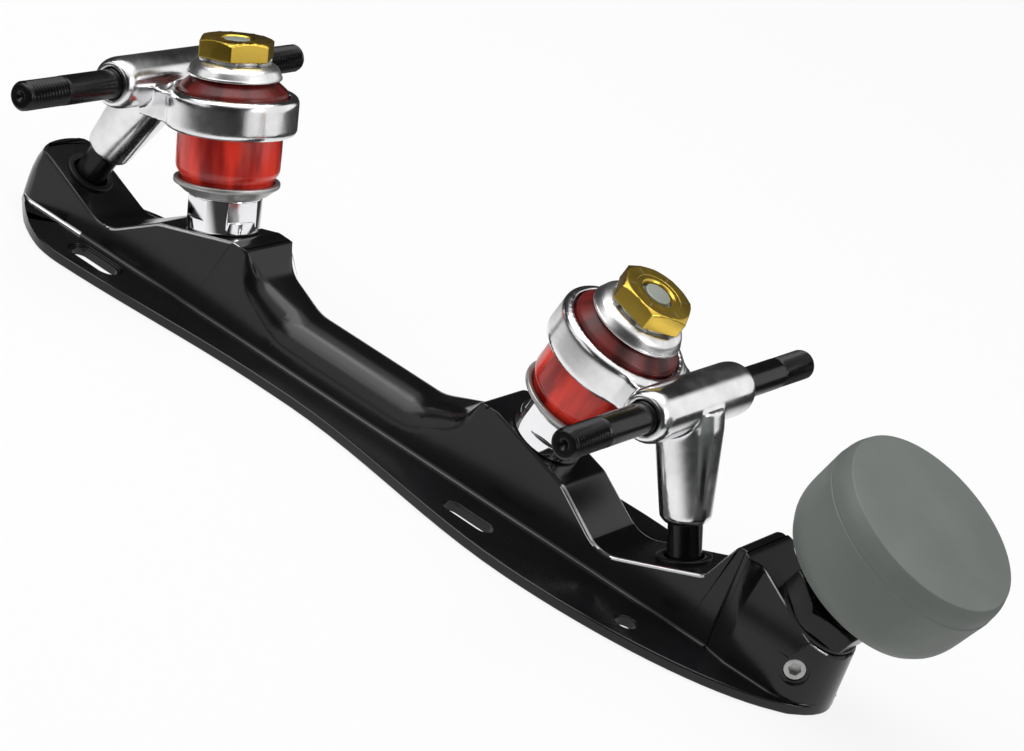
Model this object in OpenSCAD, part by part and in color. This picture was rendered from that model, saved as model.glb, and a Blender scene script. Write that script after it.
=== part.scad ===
// Quad roller skate plate with two double-action trucks and a toe stop.
// Millimetres. X runs from heel to toe, Y across, Z up from the sole face.
// The sole face lies on Z = 0 and the trucks stand above it.

/* [Plate] */
// Distance between the two axles
wheelbase = 158.75; // [140:0.25:190]
// Half width of the flange at the widest point of the heel
heel_half_w = 23.2; // [20:0.1:27]
// Half width of the flange at the waist
waist_half_w = 18.8; // [16:0.1:22]
// Half width of the flange at the ball of the foot
ball_half_w = 28.6; // [25:0.1:34]
// Distance from the rear axle to the heel end, along X
heel_overhang = 27.7; // [24:0.1:32]
// Thickness of the flange
flange_t = 2.5; // [1.8:0.1:3.5]
// Half width of the spine at the sole
spine_foot_w = 9.4; // [8.6:0.1:11]
// Half width of the spine at its top
spine_top_w = 8.6; // [8:0.1:10]
// Height of the spine between the trucks
mid_h = 13.4; // [11:0.1:15]
// Radius of the round shoulders between the two bosses
mid_round = 8; // [1:0.1:8.4]
// Length of the round heel end of the spine, along X
heel_corner_r = 8.4; // [6:0.1:10]
// How far the round heel end draws in from the sole to the pad's top
heel_draw = 5.6; // [0.5:0.1:6.5]
// Bulge of the flange's edge between the heel end and its widest point
heel_bulge = 2.5; // [0.5:0.1:3]

/* [Kingpin seats] */
// Distance from each axle inboard to the centre of its kingpin seat
kingpin_in = 29.4; // [27:0.1:33]
// Height of the centre of the kingpin seat
seat_h = 20; // [18:0.1:23]
// Lean of the kingpins towards the ends of the plate, in degrees
kingpin_tilt = 16.3; // [13:0.1:20]
// Length of the seat inboard of the kingpin, along X
seat_in = 9.6; // [9:0.1:12]
// Length of the seat outboard of the kingpin, along X
seat_out = 12.4; // [9:0.1:14]
// Length of the level top of each boss
boss_flat = 4.4; // [2:0.1:7]
// Length of the steep inboard face of each boss, along X
boss_face_run = 4.6; // [3:0.1:7]
// Height of the steep inboard face of each boss
boss_face_drop = 5.6; // [3:0.1:7]
// Length of the ramp between the boss and the middle of the plate
ramp_run = 12; // [8:0.1:15]
// Depth of the tapped kingpin hole below the seat
kingpin_depth = 15; // [11:0.5:16]

/* [Pivot pads] */
// Distance from each axle outboard to the centre of its pivot pad
pivot_out = 12.7; // [11:0.1:14]
// Height of the centre of the pivot pad
pad_h = 13; // [12:0.1:15]
// Length of the pad outboard of the pivot, along X
pad_out = 9.4; // [8:0.1:11]
// Slope of the face between the seat and the pad, in degrees
valley_slope = 33; // [28:0.5:40]

/* [Toe block] */
// Distance from the front axle to the centre of the stop's seat
stop_out = 46.9; // [44:0.1:54]
// Height of the centre of the stop's seat
stop_seat_h = 19.2; // [17:0.1:22]
// Lean of the toe stop's axis towards the toe, in degrees
stop_tilt = 24.2; // [20:0.1:28]
// Half width of the toe block and radius of its round nose
nose_r = 10.7; // [9.8:0.1:13]
// Height of the crest behind the stop's seat
crest_h = 27; // [24:0.1:29]
// Length of the level top of the crest
crest_flat = 2.4; // [1:0.1:3]
// How far the toe block's sides draw in at the crest
toe_draw = 4.8; // [1:0.1:5.2]
// Height where the toe block's sides begin to draw in
toe_draw_from = 8; // [6:0.1:12]

/* [Boot mounting] */
// Radius of the round boot holes
boot_hole_r = 2.6; // [2:0.05:3]
// Half the width of each boot slot
slot_hw = 2.4; // [2:0.05:2.8]
// Overall length of each boot slot
slot_len = 13.6; // [10:0.5:18]
// Half width of the shallow recess round each heel slot
slot_recess_hw = 3.5; // [3.2:0.1:4.2]
// Depth of the shallow recess round each heel slot
slot_recess_t = 0.6; // [0.4:0.1:1.2]
// Distance from the rear axle inboard to the heel slots
heel_slot_in = 7.6; // [4:0.1:12]
// Distance of the heel slots from the centre line
heel_slot_y = 15.4; // [14.6:0.1:17]
// Distance from the front axle inboard to the ball slots
ball_slot_in = 30.8; // [26:0.1:36]
// Distance of the ball slots from the centre line
ball_slot_y = 19.4; // [16:0.1:21]
// Distance from the front axle outboard to the toe holes
toe_hole_out = 14.2; // [10:0.1:18]
// Distance of the toe holes from the centre line
toe_hole_y = 19.6; // [15:0.1:21]

/* [Kingpin stack] */
// Radius of the kingpin
kingpin_r = 4.95; // [4.5:0.05:5.2]
// Height of the lock sleeve on the seat
sleeve_h = 9; // [7:0.1:12]
// Outer radius of the lock sleeve
sleeve_r = 8.8; // [8:0.1:9.2]
// Distance across the milled flats of the lock sleeve
sleeve_af = 15.8; // [14:0.1:16.4]
// Radius of the lower cup's rim
low_cup_r = 12.3; // [11.5:0.1:13.4]
// Full height of the lower cup
low_cup_h = 3.2; // [2.4:0.1:4]
// Radius of the lower cushion
low_cush_r = 12.5; // [11.5:0.1:13]
// Height of the lower cushion
low_cush_h = 16.7; // [14:0.1:19]
// Radius of the upper cushion where it stands in the ring
up_cush_r = 13.1; // [12:0.1:13.6]
// Height of the upper cushion
up_cush_h = 9; // [7:0.1:12]
// Radius of the upper cup's rim
up_cup_r = 10.7; // [10:0.1:11.5]
// Full height of the upper cup
up_cup_h = 3.2; // [2.4:0.1:4]
// Thickness of the sheet that the cups are pressed from
cup_t = 1.1; // [0.8:0.1:1.5]
// Thickness of the tabbed washer under the nut
tab_t = 0.9; // [0.6:0.1:1.2]
// Thickness of the top nut
nut_t = 4.6; // [3.5:0.1:7]
// Distance across the flats of the top nut
nut_af = 16.4; // [14.5:0.1:18]
// Turn of the top nut's corners from the plate's length, in degrees
nut_turn = 0; // [0:1:59]

/* [Hanger] */
// Height of both axles above the sole face
axle_h = 45.8; // [44:0.1:48]
// Outer radius of the ring that holds the cushions
ring_r = 15.7; // [15.2:0.1:17]
// Full height of the ring
ring_h = 9.4; // [8:0.1:11]
// Thickness of the web across the ring
web_t = 3; // [2:0.1:4]
// Radius of the hole in the web, round the kingpin
web_hole_r = 6.6; // [6.2:0.1:7.5]
// Half length of the tube that holds the axle
tube_half = 19.6; // [17:0.1:23]
// Radius of the tube
tube_r = 6.2; // [5.8:0.1:6.8]
// Radius of the axle tube at its two end faces
tube_end_r = 5.4; // [4.8:0.1:5.7]
// Length over which each end of the axle tube draws in
tube_taper = 3; // [1:0.1:5]
// Thickness of the neck between the ring and the tube
neck_t = 7.4; // [6:0.1:9]
// Half width of the neck where it meets the ring
neck_ring_w = 14.2; // [12:0.1:15]
// Half width of the neck where it meets the tube
neck_tube_w = 9; // [8:0.1:15]
// Radius of the arm at the tube
arm_top_r = 7.7; // [7:0.1:8.5]
// Radius of the arm at its lower end
arm_end_r = 5.8; // [5.4:0.1:6.6]
// Distance from the pivot pad to the lower end of the arm
arm_gap = 8.2; // [6:0.1:11]

/* [Axles] */
// Radius of the axles
axle_r = 3.5; // [3:0.05:4]
// Half length of the axles
axle_half = 50.4; // [44:0.1:56]
// Extra radius of the knurled middle that is pressed into the hanger
knurl = 0.2; // [0.1:0.05:0.4]
// Radius of the centre drilling in each axle end
centre_r = 1.3; // [0.8:0.1:1.6]

/* [Pivots] */
// Radius of the pivot pins
pivot_r = 3.9; // [3.5:0.05:4]
// Radius of the round end of the pivot pins
ball_r = 4.2; // [4:0.05:4.4]
// Depth of the centre of the round end below the pad
ball_depth = 2.6; // [2:0.1:3]
// Length of the pivot pin inside the arm
pivot_grip = 11; // [8:0.1:14]
// Radius of the pivot cup inside the plate
cup_body_r = 5.9; // [5.6:0.05:6.3]
// Radius of the pivot cup's flange
cup_flange_r = 6.5; // [6.3:0.05:7.2]
// Thickness of the pivot cup's flange
cup_flange_t = 1.2; // [0.8:0.1:1.6]
// Depth of the pivot cup below the pad
cup_depth = 8.2; // [7.8:0.1:9]

/* [Toe stop] */
// Radius of the toe stop's threaded stem
stem_r = 7.9; // [7:0.05:8]
// Length of the stem below its seat
stem_below = 13; // [10:0.5:13.5]
// Distance from the seat to the back of the rubber
stop_stand_off = 13.9; // [12.5:0.1:17]
// Largest radius of the rubber
stop_r = 23.4; // [22:0.1:27]
// Radius of the flat back of the rubber
stop_back_r = 20.2; // [18:0.1:20.8]
// Height of the rounded back edge of the rubber
stop_back_h = 5.4; // [3:0.1:6.5]
// Full height of the rubber
stop_h = 22.8; // [20:0.1:28]
// Radius of the rubber at the edge of its flat face
stop_face_r = 22.4; // [19:0.1:23]
// Height of the bevel between the side and the face
stop_bevel_h = 5.1; // [3:0.1:7]
// Radius of the disc that the rubber is moulded on
disc_r = 13; // [11:0.1:15]
// Thickness of the disc
disc_t = 3; // [2:0.1:4]
// Distance from the back of the rubber to the disc
disc_in = 6; // [4:0.1:9]
// Radius of the washer on the toe block
stop_washer_r = 10.2; // [9.4:0.1:10.6]
// Thickness of that washer
stop_washer_t = 1; // [0.6:0.1:1.5]
// Thickness of the lock nut on the stem
stop_nut_t = 5.4; // [4:0.1:6.5]
// Distance across the flats of the lock nut
stop_nut_af = 19.2; // [18.6:0.1:22]
// Radius of the set screw that grips the stem
set_r = 2.5; // [1.5:0.1:3]
// Height of the set screw above the sole face
set_h = 9.6; // [8:0.1:11]
// Direction of the set screw from straight across, in degrees
set_angle = 30; // [20:1:40]

/* [Fits] */
// Radial clearance of a shaft in its hole
fit = 0.05; // [0.03:0.01:0.08]
// Clearance between a cushion and the ring
soft_gap = 0.25; // [0.15:0.05:0.4]

/* [Hidden] */
$fn = 72;
eps = 0.01;

// Stations along X, measured from the middle of the wheelbase
axle_x = wheelbase / 2;
kingpin_x = axle_x - kingpin_in;
pad_x = axle_x + pivot_out;
stop_x = axle_x + stop_out;
heel_x = axle_x + heel_overhang;
nose_x = stop_x - 0.8;
tip_x = nose_x + nose_r;

// The arm points from the pad to the axle, and the pad is square to it
pivot_tilt = atan2(pivot_out, axle_h - pad_h);
arm_len = norm([pivot_out, axle_h - pad_h]);

// Levels along the kingpin, measured from the seat
low_floor = sleeve_h + cup_t;
web_low = low_floor + low_cush_h + soft_gap;
ring_mid = web_low + web_t / 2;
web_top = web_low + web_t;
up_floor = web_top + soft_gap + up_cush_h;
up_cup_top = up_floor + cup_t;
nut_low = up_cup_top + tab_t;
kingpin_top = nut_low + nut_t - 0.4;

// Place of the axle as the ring sees it: along the neck, and above the web
ring_x = kingpin_x + ring_mid * sin(kingpin_tilt);
ring_z = seat_h + ring_mid * cos(kingpin_tilt);
neck_len = (axle_x - ring_x) * cos(kingpin_tilt)
    - (axle_h - ring_z) * sin(kingpin_tilt);
neck_up = (axle_x - ring_x) * sin(kingpin_tilt)
    + (axle_h - ring_z) * cos(kingpin_tilt);

// Heights of the spine's corners
boss_top = seat_h + seat_in * tan(kingpin_tilt);
seat_end = seat_h - seat_out * tan(kingpin_tilt);
pad_top = pad_h + pad_out * tan(pivot_tilt);
heel_top = pad_h + (heel_x - pad_x) * tan(pivot_tilt);
crest_end = stop_x - (crest_h - stop_seat_h) / tan(stop_tilt);
crest_start = crest_end - crest_flat;
shoulder_x = crest_start + 2;
pad_end = pad_x + pad_out;
// Where the axle's free ends start, just outside the hanger's tube
free_from = tube_half + 0.5;
tube_mid_r = tube_end_r + 0.72 * (tube_r - tube_end_r);
// Foot of the slope that falls from the seat and meets the pad's plane
valley_x = (seat_end - pad_h + (kingpin_x + seat_out) * tan(valley_slope)
    + pad_x * tan(pivot_tilt)) / (tan(valley_slope) + tan(pivot_tilt));
valley_z = pad_h + (valley_x - pad_x) * tan(pivot_tilt);

// Points that round the corner b between a and c with radius r
function unit(v) = v / norm(v);
function corner(a, b, c, r, n = 7) =
    let (u = unit(a - b), v = unit(c - b),
        half = acos(u * v) / 2,
        room = 0.48 * min(norm(a - b), norm(c - b)),
        rr = min(r, room * tan(half)),
        m = b + unit(u + v) * rr / sin(half),
        p = b + u * rr / tan(half) - m,
        q = b + v * rr / tan(half) - m,
        a0 = atan2(p[1], p[0]),
        da = atan2(p[0] * q[1] - p[1] * q[0], p * q))
    [for (i = [0 : n]) m + rr * [cos(a0 + da * i / n), sin(a0 + da * i / n)]];

// Points of a closed outline; each entry is [x, y, corner radius]
function rounded(p) = [for (i = [0 : len(p) - 1])
    let (k = len(p), a = p[(i + k - 1) % k], b = p[i], c = p[(i + 1) % k])
    each (b[2] > 0
        ? corner([a[0], a[1]], [b[0], b[1]], [c[0], c[1]], b[2])
        : [[b[0], b[1]]])];

// Corners of one boss, from the middle of the plate to the valley
function boss_side() = [
    [kingpin_x - seat_in - boss_flat - boss_face_run - ramp_run, mid_h, 16],
    [kingpin_x - seat_in - boss_flat - boss_face_run,
        boss_top - boss_face_drop, 9],
    [kingpin_x - seat_in - boss_flat, boss_top, 2.6],
    [kingpin_x - seat_in, boss_top, 3],
    [kingpin_x + seat_out, seat_end, 5],
    [valley_x, valley_z, 9]];

// Corners behind the front pad, over the crest and down to the toe
function toe_side() = [
    [pad_end, pad_top, 3],
    [crest_start, crest_h, 3],
    [crest_end, crest_h, 6],
    [tip_x, stop_seat_h - (tip_x - stop_x) * tan(stop_tilt), 0.6],
    [tip_x, 0, 0]];

// Corners of the rear pad and the heel, as distances from the middle
function heel_side() = [
    [heel_x, 0, 0],
    [heel_x, heel_top, 0]];

function flip(p) = [for (i = [len(p) - 1 : -1 : 0])
    [-p[i][0], p[i][1], p[i][2]]];
function across(p) = [for (q = p) [-q[0], q[1], q[2]]];

// Side view of the spine, heel to toe
module spine_side() {
    polygon(rounded(concat(across(heel_side()), flip(boss_side()),
        boss_side(), toe_side())));
}

// Half width of the flange at station x
function ease(t) = let (u = max(0, min(1, t))) u * u * (3 - 2 * u);
heel_wide_x = -axle_x - 0.6;
waist_x = -15;
ball_x = axle_x - 13;

// Start of the flange's heel edge, on the round end where its edge turns
// heel_lead degrees away from the heel
heel_lead = 53;
heel_lead_r = sqrt(pow(heel_corner_r * sin(heel_lead), 2)
    + pow(spine_foot_w * cos(heel_lead), 2));
heel_start_x = -heel_x + heel_corner_r
    - pow(heel_corner_r, 2) * sin(heel_lead) / heel_lead_r;
heel_start_w = pow(spine_foot_w, 2) * cos(heel_lead) / heel_lead_r;
heel_run = heel_wide_x - heel_start_x;
function flange_w(x) =
    x < heel_wide_x
    ? let (u = (x - heel_start_x) / heel_run)
        heel_start_w + (heel_half_w + 0.6 - heel_start_w) * u
        + heel_bulge * sin(180 * u)
    : x < waist_x
    ? heel_half_w + (waist_half_w - heel_half_w)
        * ease((x - heel_wide_x) / (waist_x - heel_wide_x))
    : x < ball_x
    ? waist_half_w + (ball_half_w - waist_half_w)
        * ease((x - waist_x - 8) / (ball_x - waist_x - 8))
    : ball_half_w * sqrt(max(0, 1 - pow((x - ball_x) / (tip_x - ball_x), 2)));

// Stations of the flange's edge: heel corner, waist, then the round toe
function flange_x() = concat(
    [for (i = [0 : 9]) heel_start_x + i / 9 * (heel_run - 5.2)],
    [for (i = [0 : 3]) heel_wide_x - 3.6 + i * 2.4],
    [for (i = [1 : 22]) heel_wide_x + 3.6
        + i * (ball_x - heel_wide_x - 3.6) / 22],
    [for (i = [1 : 21]) ball_x + (tip_x - ball_x) * sin(i * 90 / 22)]);
function edge_w(x) = abs(x - heel_wide_x) < 5
    ? min(flange_w(x), heel_half_w - 0.02 * pow(x - heel_wide_x - 3.4, 2))
    : flange_w(x);

module flange_plan() {
    xs = flange_x();
    near = [for (x = xs) [x, -edge_w(x)]];
    far = [for (i = [len(xs) - 1 : -1 : 0]) [xs[i], edge_w(xs[i])]];
    polygon(concat(near, [[tip_x, 0]], far));
}

// Plan of the spine, with the wider toe block
module spine_plan() {
    polygon(rounded([
        [-heel_x, -spine_foot_w, 0],
        [shoulder_x, -spine_foot_w, 0],
        [shoulder_x + 6, -nose_r, 0],
        [nose_x, -nose_r, 0],
        [nose_x, nose_r, 0],
        [shoulder_x + 6, nose_r, 0],
        [shoulder_x, spine_foot_w, 0],
        [-heel_x, spine_foot_w, 0]]));
    translate([nose_x, 0])
        circle(r = nose_r);
}

// Drafted walls of the spine, behind the toe block
module spine_draft() {
    side = 2 * ball_half_w;
    top = 2 * crest_h;
    difference() {
        translate([-heel_x - 1, -side, -1])
            cube([heel_x + shoulder_x + 1, 2 * side, top]);
        for (s = [-1, 1])
            translate([-heel_x - 2, 0, 0])
                rotate([90, 0, 90])
                    linear_extrude(height = heel_x + shoulder_x + 4)
                        polygon([[s * spine_foot_w, 0],
                            [s * spine_top_w, crest_h],
                            [s * spine_top_w, top],
                            [s * side, top], [s * side, 0]]);
    }
    translate([shoulder_x - eps, -side, -1])
        cube([tip_x - shoulder_x + 10, 2 * side, top]);
}

// Round heel end: half ellipses stacked up, each shorter than the last
module heel_round() {
    from = -heel_x + heel_corner_r;
    side = 2 * ball_half_w;
    hull()
        for (k = [0 : 6])
            translate([from, 0, k / 6 * heel_top])
                linear_extrude(height = 0.01)
                    intersection() {
                        scale([(heel_corner_r - heel_draw
                            * pow(k / 6, 3.5)) / spine_foot_w, 1])
                            circle(r = spine_foot_w, $fn = 72);
                        translate([-side, -side])
                            square([side + 1, 2 * side]);
                    }
    translate([from, -side, -1])
        cube([heel_x + tip_x, 2 * side, 2 * crest_h]);
}

// Half width of the spine's drafted wall at height z
function wall_w(z) = spine_foot_w + (spine_top_w - spine_foot_w) * z / crest_h;

// Top edge between the bosses, and the cutter that rounds it: a quarter
// circle carried along the edge, growing from a small one on top of the
// boss to mid_round at the middle of the plate
function edge_side() = concat(
    [for (k = [0 : 2]) boss_side()[k]],
    [[kingpin_x - seat_in - boss_flat / 2, boss_top, 0]]);
function edge_r(z) = 0.4 + (mid_round - 0.4)
    * max(0, min(1, (boss_top - z) / (boss_top - mid_h)));
module shoulder_cut() {
    path = rounded(concat(flip(edge_side()), edge_side()));
    last = len(path) - 1;
    arc = 6;
    ring = arc + 4;
    points = [for (i = [0 : last])
        let (a = path[max(0, i - 1)], b = path[min(last, i + 1)],
            u = unit(b - a), n = [-u[1], u[0]],
            r = edge_r(path[i][1]),
            w = wall_w(path[i][1] - r * n[1]))
        for (q = concat(
            [for (k = [0 : arc])
                [w - r + r * sin(90 * k / arc) + (k == arc ? 0.03 : 0),
                    r * (1 - cos(90 * k / arc)) - (k == 0 ? 0.02 : 0)]],
            [[w + 2, r], [w + 2, -1.5], [w - r, -1.5]]))
        [path[i][0] - n[0] * q[1], q[0], path[i][1] - n[1] * q[1]]];
    sides = [for (i = [0 : last - 1]) for (j = [0 : ring - 1])
        let (k = (j + 1) % ring, p = i * ring + j, q = i * ring + k)
        each [[p, q + ring, q], [p, p + ring, q + ring]]];
    polyhedron(points, concat(sides,
        [[for (j = [0 : ring - 1]) j],
            [for (j = [ring - 1 : -1 : 0]) last * ring + j]]), convexity = 6);
}

// Frames of the kingpin, the pivot, the axle and the toe stop
module at_side(side) {
    if (side > 0)
        children();
    else
        mirror([1, 0, 0])
            children();
}
module at_kingpin(side) {
    at_side(side)
        translate([kingpin_x, 0, seat_h])
            rotate([0, kingpin_tilt, 0])
                children();
}
module at_pivot(side) {
    at_side(side)
        translate([pad_x, 0, pad_h])
            rotate([0, -pivot_tilt, 0])
                children();
}
module at_stop() {
    translate([stop_x, 0, stop_seat_h])
        rotate([0, stop_tilt, 0])
            children();
}
module at_set_screw() {
    aim = stop_x - (stop_seat_h - set_h) * tan(stop_tilt) + 2.2;
    translate([aim, 0, set_h])
        rotate([0, 0, set_angle])
            rotate([90, 0, 0])
                children();
}
// Distance from the set screw's aim to the surface of the nose
set_off = nose_x - (stop_x - (stop_seat_h - set_h) * tan(stop_tilt) + 2.2);
set_out = set_off * sin(set_angle)
    + sqrt(pow(nose_r, 2) - pow(set_off * cos(set_angle), 2));
// Distance from the aim to the stem's surface, on the safe side
set_in = stem_r - 0.4;

// Cutter that draws the toe block's side in towards its seat: its face
// leaves the side at toe_draw_from and curves in by toe_draw at the crest
module toe_cut() {
    rows = 10;
    ring = rows + 3;
    stations = concat([for (i = [0 : 6]) shoulder_x + 0.4 + i * 0.8],
        [tip_x + 2]);
    last = len(stations) - 1;
    points = [for (i = [0 : last])
        let (m = toe_draw * ease((stations[i] - shoulder_x - 0.4) / 4.8))
        for (q = concat(
            [[nose_r + 4, toe_draw_from],
                [nose_r + 4, toe_draw_from + 1.06 * (crest_h - toe_draw_from)]],
            [for (k = [rows : -1 : 0])
                let (u = k / rows * 1.06)
                [nose_r + 0.02 - m * u * u,
                    toe_draw_from + u * (crest_h - toe_draw_from)]]))
        [stations[i], q[0], q[1]]];
    sides = [for (i = [0 : last - 1]) for (j = [0 : ring - 1])
        let (k = (j + 1) % ring, p = i * ring + j, q = i * ring + k)
        each [[p, q + ring, q], [p, p + ring, q + ring]]];
    polyhedron(points, concat(sides,
        [[for (j = [0 : ring - 1]) j],
            [for (j = [ring - 1 : -1 : 0]) last * ring + j]]), convexity = 6);
}

module slot_cut(x, y, recess) {
    reach = slot_len / 2 - slot_hw;
    for (s = [-1, 1])
        translate([x, s * y, 0]) {
            translate([0, 0, -1])
                linear_extrude(height = flange_t + 2)
                    slot_shape(reach, slot_hw);
            if (recess)
                translate([0, 0, flange_t - slot_recess_t])
                    linear_extrude(height = 4)
                        slot_shape(reach, slot_recess_hw);
        }
}
module slot_shape(reach, r) {
    for (k = [-1, 1])
        translate([k * reach, 0])
            circle(r = r, $fn = 40);
    square([2 * reach, 2 * r], center = true);
}

module plate_body() {
    color([0.05, 0.05, 0.055])
    difference() {
        union() {
            linear_extrude(height = flange_t)
                flange_plan();
            intersection() {
                rotate([90, 0, 0])
                    translate([0, 0, -ball_half_w])
                        linear_extrude(height = 2 * ball_half_w)
                            spine_side();
                linear_extrude(height = 2 * crest_h)
                    spine_plan();
                spine_draft();
                heel_round();
            }
        }
        for (side = [-1, 1]) {
            at_kingpin(side)
                translate([0, 0, -kingpin_depth - 0.5])
                    cylinder(r = kingpin_r + fit, h = kingpin_depth + 10);
            at_pivot(side)
                translate([0, 0, -cup_depth - fit])
                    cylinder(r = cup_body_r + fit, h = cup_depth + 10);
        }
        at_stop()
            translate([0, 0, -40])
                cylinder(r = stem_r + fit, h = 60);
        at_set_screw() {
            translate([0, 0, 2])
                cylinder(r = set_r + fit, h = 20);
            translate([0, 0, set_out - 0.7])
                cylinder(r = set_r + 0.8, h = 10);
        }
        for (s = [0, 1])
            mirror([0, s, 0])
                union() {
                    shoulder_cut();
                    toe_cut();
                }
        slot_cut(-axle_x + heel_slot_in, heel_slot_y, true);
        slot_cut(axle_x - ball_slot_in, ball_slot_y, false);
        for (s = [-1, 1])
            translate([axle_x + toe_hole_out, s * toe_hole_y, -1])
                cylinder(r = boot_hole_r, h = flange_t + 2);
    }
}

module pivot_cup(side) {
    color([0.08, 0.08, 0.09])
    at_pivot(side)
        difference() {
            union() {
                translate([0, 0, -cup_depth])
                    cylinder(r = cup_body_r, h = cup_depth + eps);
                cylinder(r = cup_flange_r, h = cup_flange_t);
            }
            translate([0, 0, -ball_depth])
                sphere(r = ball_r + fit, $fn = 64);
            translate([0, 0, -ball_depth])
                cylinder(r = ball_r + fit + 0.3, h = ball_depth + 10);
        }
}

module pivot_pin(side) {
    color([0.06, 0.06, 0.06])
    at_pivot(side)
        union() {
            translate([0, 0, -ball_depth])
                sphere(r = ball_r, $fn = 64);
            translate([0, 0, -ball_depth])
                cylinder(r = pivot_r,
                    h = ball_depth + arm_gap + pivot_grip);
        }
}

module kingpin(side) {
    color([0.5, 0.5, 0.5])
    at_kingpin(side)
        rotate_extrude()
            polygon([[0, -kingpin_depth],
                [kingpin_r - 0.8, -kingpin_depth],
                [kingpin_r, -kingpin_depth + 0.8],
                [kingpin_r, kingpin_top - 0.8],
                [kingpin_r - 0.8, kingpin_top], [0, kingpin_top]]);
}

module lock_sleeve(side) {
    flat_h = sleeve_h - 4.2;
    color([0.86, 0.87, 0.88])
    at_kingpin(side)
        difference() {
            rotate_extrude()
                polygon([[kingpin_r + fit, 0], [sleeve_r - 0.5, 0],
                    [sleeve_r, 0.5], [sleeve_r, sleeve_h - 0.6],
                    [sleeve_r - 0.6, sleeve_h],
                    [kingpin_r + fit, sleeve_h]]);
            for (k = [0 : 3])
                rotate([0, 0, 90 * k + 20])
                    translate([sleeve_af / 2, -10, sleeve_h - 0.9 - flat_h])
                        cube([10, 20, flat_h]);
        }
}

// Profile of the lower cup; the upper one is the same piece turned over
module cup_ring(rim_r, base_r, h) {
    rotate_extrude()
        polygon([[kingpin_r + fit, 0], [base_r, 0],
            [rim_r, h - 1], [rim_r, h], [rim_r - cup_t, h],
            [rim_r - cup_t, h - 0.6], [base_r - 0.3, cup_t],
            [kingpin_r + fit, cup_t]]);
}

module lower_cup(side) {
    color([0.62, 0.62, 0.6])
    at_kingpin(side)
        translate([0, 0, sleeve_h])
            cup_ring(low_cup_r, sleeve_r + 0.4, low_cup_h);
}

module upper_cup(side) {
    color([0.62, 0.62, 0.6])
    at_kingpin(side)
        translate([0, 0, up_cup_top])
            mirror([0, 0, 1])
                cup_ring(up_cup_r, up_cup_r - 2.9, up_cup_h);
}

module lower_cushion(side) {
    rim_z = low_cup_h - cup_t;
    in_r = low_cup_r - cup_t - 0.15;
    color([0.85, 0.12, 0.08])
    at_kingpin(side)
        translate([0, 0, low_floor])
            rotate_extrude()
                polygon([[kingpin_r + 0.2, fit], [sleeve_r - 0.4, fit],
                    [in_r, rim_z - 0.4], [in_r, rim_z + 0.4],
                    [low_cush_r, rim_z + 3],
                    [low_cush_r, low_cush_h],
                    [web_hole_r + 0.4, low_cush_h],
                    [kingpin_r + 0.2, low_cush_h - 1.5]]);
}

module upper_cushion(side) {
    top_r = up_cup_r - cup_t - 0.15;
    rim_z = up_cush_h - (up_cup_h - cup_t);
    lip_h = (ring_h - web_t) / 2 + 0.6;
    color([0.8, 0.14, 0.1])
    at_kingpin(side)
        translate([0, 0, web_top + soft_gap])
            rotate_extrude()
                polygon([[web_hole_r + 0.4, 0],
                    [up_cush_r - 0.6, 0], [up_cush_r, 0.6],
                    [up_cush_r, lip_h], [top_r, rim_z - 0.3],
                    [top_r, rim_z + 0.4],
                    [up_cup_r - 3.4, up_cush_h - fit],
                    [kingpin_r + 0.2, up_cush_h - fit],
                    [kingpin_r + 0.2, 1.5]]);
}

module tab_washer(side) {
    color([0.7, 0.7, 0.68])
    at_kingpin(side)
        translate([0, 0, up_cup_top])
            difference() {
                union() {
                    cylinder(r = nut_af / 2 - 0.7, h = tab_t);
                    for (k = [0 : 5])
                        rotate([0, 0, 60 * k])
                            translate([nut_af / 2 - 1.6, -1.3, 0])
                                cube([2.1, 2.6, tab_t]);
                }
                translate([0, 0, -1])
                    cylinder(r = kingpin_r + fit, h = tab_t + 2);
            }
}

// Hexagonal nut with its corners chamfered on top
module hex_nut(af, t, hole_r, both = false) {
    cr = af / 2 / cos(30);
    low = both ? 0.8 : 0;
    difference() {
        intersection() {
            cylinder(r = cr, h = t, $fn = 6);
            rotate_extrude()
                polygon([[0, 0], [cr - low - 0.05, 0], [cr, low * 0.6],
                    [cr, t - 0.75], [cr - 1.3, t], [0, t]]);
        }
        translate([0, 0, -1])
            cylinder(r = hole_r, h = t + 2);
        translate([0, 0, t - 0.6])
            rotate_extrude()
                polygon([[0, 0], [hole_r - 0.1, 0],
                    [hole_r + 0.6, 0.7], [0, 0.7]]);
    }
}

module top_nut(side) {
    color([0.72, 0.56, 0.16])
    at_kingpin(side)
        translate([0, 0, nut_low])
            rotate([0, 0, nut_turn])
                hex_nut(nut_af, nut_t, kingpin_r + fit);
}

// Cross-section of the ring, web in the middle and a rounded wall
module ring_solid() {
    rotate_extrude()
        polygon(concat(
            [[web_hole_r, -web_t / 2], [low_cush_r + 0.3, -web_t / 2],
                [low_cush_r + 0.5, -ring_h / 2]],
            [for (a = [-90 : 15 : 90])
                [ring_r - 1.6 + 1.6 * cos(a),
                    (a < 0 ? -1 : 1) * (ring_h / 2 - 1.6) + 1.6 * sin(a)]],
            [[up_cush_r + 0.5, ring_h / 2], [up_cush_r + 0.3, web_t / 2],
                [web_hole_r, web_t / 2]]));
}

// Plan of the neck, from the ring's flanks to the tube
module neck_plan() {
    difference() {
        polygon([[2, -neck_ring_w], [neck_len, -neck_tube_w],
            [neck_len, neck_tube_w], [2, neck_ring_w]]);
        circle(r = ring_r - 1);
    }
}

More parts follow.
